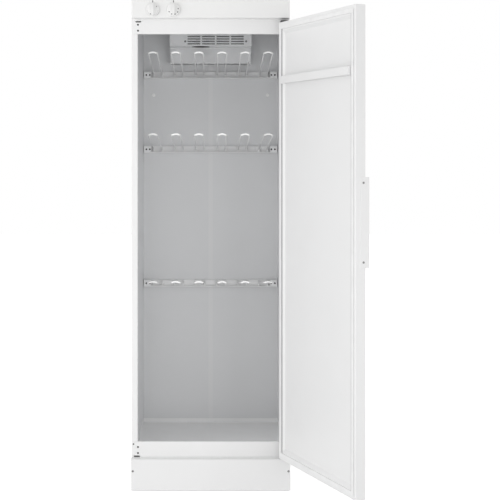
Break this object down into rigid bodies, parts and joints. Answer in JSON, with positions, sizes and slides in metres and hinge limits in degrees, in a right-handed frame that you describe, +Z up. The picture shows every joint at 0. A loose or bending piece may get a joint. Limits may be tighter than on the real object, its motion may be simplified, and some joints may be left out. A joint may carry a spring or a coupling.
{
  "type": "drying cabinet",
  "caption": "Tall clothes drying cabinet with a side-hung door, rows of lifting wire hangers, a ceiling fan heater and a top air outlet.",
  "frame": {"origin": "on the floor, under the middle of the cabinet body", "axes": "+X to the right seen from the front, -Y out of the front, +Z up"},
  "size_m": [0.8185, 1.1692, 1.864],
  "materials": {
    "casing": "smooth white powder coat",
    "liner": "light grey coated sheet",
    "zinc_sheet": "bare zinc-coated sheet",
    "panel_plastic": "satin white moulding",
    "knobs": "satin white moulding with small grey dial marks",
    "switch_plastic": "dark moulding",
    "foot_plastic": "dark moulding with a steel stud",
    "screws": "zinc-plated",
    "fan_cover": "light grey coat",
    "fan_wheel": "dark coated sheet",
    "motor": "dark coat",
    "heater": "heat-dulled steel tube",
    "rails": "light grey coat",
    "hanger_wire": "white coated wire with a thicker white front",
    "hinges": "dark steel",
    "plugs": "white moulding",
    "seal": "soft grey seal",
    "handle": "white coated angle",
    "shafts": "plain steel"
  },
  "bodies": {
    "cabinet": {"side_panel_left": "casing", "side_panel_right": "casing", "back_panel": "zinc_sheet", "top_cover": "casing", "exhaust_spigot": "zinc_sheet", "header_rail": "casing", "sill_rail": "casing", "floor_tray": "liner", "liner_left": "liner", "liner_right": "liner", "centre_strip": "liner", "ceiling_panel": "liner", "base_frame": "casing", "levelling_feet": "foot_plastic", "plinth_cover": "casing", "casing_screws": "screws", "control_panel": "panel_plastic", "timer_unit": "switch_plastic", "selector_switch": "switch_plastic", "fan_cover": "fan_cover", "fan_motor": "motor", "heater_element": "heater", "rail_upper": "rails", "rail_middle": "rails", "rail_lower": "rails", "hinge_upper": "hinges", "hinge_lower": "hinges", "wall_plugs": "plugs", "cable_gland": "switch_plastic"},
    "door": {"door_skin": "casing", "door_inner_panel": "casing", "door_seal": "seal", "hinge_bushes": "plugs", "towel_rail": "casing", "door_handle": "handle", "handle_screws": "screws"},
    "fan": {"fan_wheel": "fan_wheel", "fan_shaft": "shafts"},
    "timer": {"timer_knob": "knobs", "timer_shaft": "shafts"},
    "selector": {"selector_knob": "knobs", "selector_shaft": "shafts"},
    "hanger_upper_1": {"hanger_upper_1": "hanger_wire"},
    "hanger_upper_2": {"hanger_upper_2": "hanger_wire"},
    "hanger_upper_3": {"hanger_upper_3": "hanger_wire"},
    "hanger_upper_4": {"hanger_upper_4": "hanger_wire"},
    "hanger_upper_5": {"hanger_upper_5": "hanger_wire"},
    "hanger_upper_6": {"hanger_upper_6": "hanger_wire"},
    "hanger_middle_1": {"hanger_middle_1": "hanger_wire"},
    "hanger_middle_2": {"hanger_middle_2": "hanger_wire"},
    "hanger_middle_3": {"hanger_middle_3": "hanger_wire"},
    "hanger_middle_4": {"hanger_middle_4": "hanger_wire"},
    "hanger_middle_5": {"hanger_middle_5": "hanger_wire"},
    "hanger_middle_6": {"hanger_middle_6": "hanger_wire"},
    "hanger_lower_1": {"hanger_lower_1": "hanger_wire"},
    "hanger_lower_2": {"hanger_lower_2": "hanger_wire"},
    "hanger_lower_3": {"hanger_lower_3": "hanger_wire"},
    "hanger_lower_4": {"hanger_lower_4": "hanger_wire"},
    "hanger_lower_5": {"hanger_lower_5": "hanger_wire"},
    "hanger_lower_6": {"hanger_lower_6": "hanger_wire"}
  },
  "joints": [
    {"name": "door_hinge", "type": "hinge", "parent": "cabinet", "child": "door", "pos_m": [0.286, -0.3205, 0.934], "axis": [0, 0, 1], "range_deg": [-111.8, 8]},
    {"name": "fan_spin", "type": "hinge", "parent": "cabinet", "child": "fan", "pos_m": [-0.041, 0.147, 1.72], "axis": [0, 0, 1], "continuous": true},
    {"name": "timer_turn", "type": "hinge", "parent": "cabinet", "child": "timer", "pos_m": [-0.216, -0.3275, 1.7955], "axis": [0, 1, 0], "range_deg": [0, 300]},
    {"name": "selector_turn", "type": "hinge", "parent": "cabinet", "child": "selector", "pos_m": [-0.1385, -0.3275, 1.7955], "axis": [0, 1, 0], "range_deg": [-90, 90]},
    {"name": "hanger_upper_1_lift", "type": "hinge", "parent": "cabinet", "child": "hanger_upper_1", "pos_m": [-0.22125, 0.2425, 1.591], "axis": [-1, 0, 0], "range_deg": [0, 13.5]},
    {"name": "hanger_upper_2_lift", "type": "hinge", "parent": "cabinet", "child": "hanger_upper_2", "pos_m": [-0.13275, 0.2425, 1.591], "axis": [-1, 0, 0], "range_deg": [0, 13.5]},
    {"name": "hanger_upper_3_lift", "type": "hinge", "parent": "cabinet", "child": "hanger_upper_3", "pos_m": [-0.04425, 0.2425, 1.591], "axis": [-1, 0, 0], "range_deg": [0, 13.5]},
    {"name": "hanger_upper_4_lift", "type": "hinge", "parent": "cabinet", "child": "hanger_upper_4", "pos_m": [0.04425, 0.2425, 1.591], "axis": [-1, 0, 0], "range_deg": [0, 13.5]},
    {"name": "hanger_upper_5_lift", "type": "hinge", "parent": "cabinet", "child": "hanger_upper_5", "pos_m": [0.13275, 0.2425, 1.591], "axis": [-1, 0, 0], "range_deg": [0, 13.5]},
    {"name": "hanger_upper_6_lift", "type": "hinge", "parent": "cabinet", "child": "hanger_upper_6", "pos_m": [0.22125, 0.2425, 1.591], "axis": [-1, 0, 0], "range_deg": [0, 13.5]},
    {"name": "hanger_middle_1_lift", "type": "hinge", "parent": "cabinet", "child": "hanger_middle_1", "pos_m": [-0.22125, 0.2425, 1.278], "axis": [-1, 0, 0], "range_deg": [0, 38]},
    {"name": "hanger_middle_2_lift", "type": "hinge", "parent": "cabinet", "child": "hanger_middle_2", "pos_m": [-0.13275, 0.2425, 1.278], "axis": [-1, 0, 0], "range_deg": [0, 38]},
    {"name": "hanger_middle_3_lift", "type": "hinge", "parent": "cabinet", "child": "hanger_middle_3", "pos_m": [-0.04425, 0.2425, 1.278], "axis": [-1, 0, 0], "range_deg": [0, 38]},
    {"name": "hanger_middle_4_lift", "type": "hinge", "parent": "cabinet", "child": "hanger_middle_4", "pos_m": [0.04425, 0.2425, 1.278], "axis": [-1, 0, 0], "range_deg": [0, 38]},
    {"name": "hanger_middle_5_lift", "type": "hinge", "parent": "cabinet", "child": "hanger_middle_5", "pos_m": [0.13275, 0.2425, 1.278], "axis": [-1, 0, 0], "range_deg": [0, 38]},
    {"name": "hanger_middle_6_lift", "type": "hinge", "parent": "cabinet", "child": "hanger_middle_6", "pos_m": [0.22125, 0.2425, 1.278], "axis": [-1, 0, 0], "range_deg": [0, 38]},
    {"name": "hanger_lower_1_lift", "type": "hinge", "parent": "cabinet", "child": "hanger_lower_1", "pos_m": [-0.22125, 0.2425, 0.714], "axis": [-1, 0, 0], "range_deg": [0, 80]},
    {"name": "hanger_lower_2_lift", "type": "hinge", "parent": "cabinet", "child": "hanger_lower_2", "pos_m": [-0.13275, 0.2425, 0.714], "axis": [-1, 0, 0], "range_deg": [0, 80]},
    {"name": "hanger_lower_3_lift", "type": "hinge", "parent": "cabinet", "child": "hanger_lower_3", "pos_m": [-0.04425, 0.2425, 0.714], "axis": [-1, 0, 0], "range_deg": [0, 80]},
    {"name": "hanger_lower_4_lift", "type": "hinge", "parent": "cabinet", "child": "hanger_lower_4", "pos_m": [0.04425, 0.2425, 0.714], "axis": [-1, 0, 0], "range_deg": [0, 80]},
    {"name": "hanger_lower_5_lift", "type": "hinge", "parent": "cabinet", "child": "hanger_lower_5", "pos_m": [0.13275, 0.2425, 0.714], "axis": [-1, 0, 0], "range_deg": [0, 80]},
    {"name": "hanger_lower_6_lift", "type": "hinge", "parent": "cabinet", "child": "hanger_lower_6", "pos_m": [0.22125, 0.2425, 0.714], "axis": [-1, 0, 0], "range_deg": [0, 80]}
  ]
}
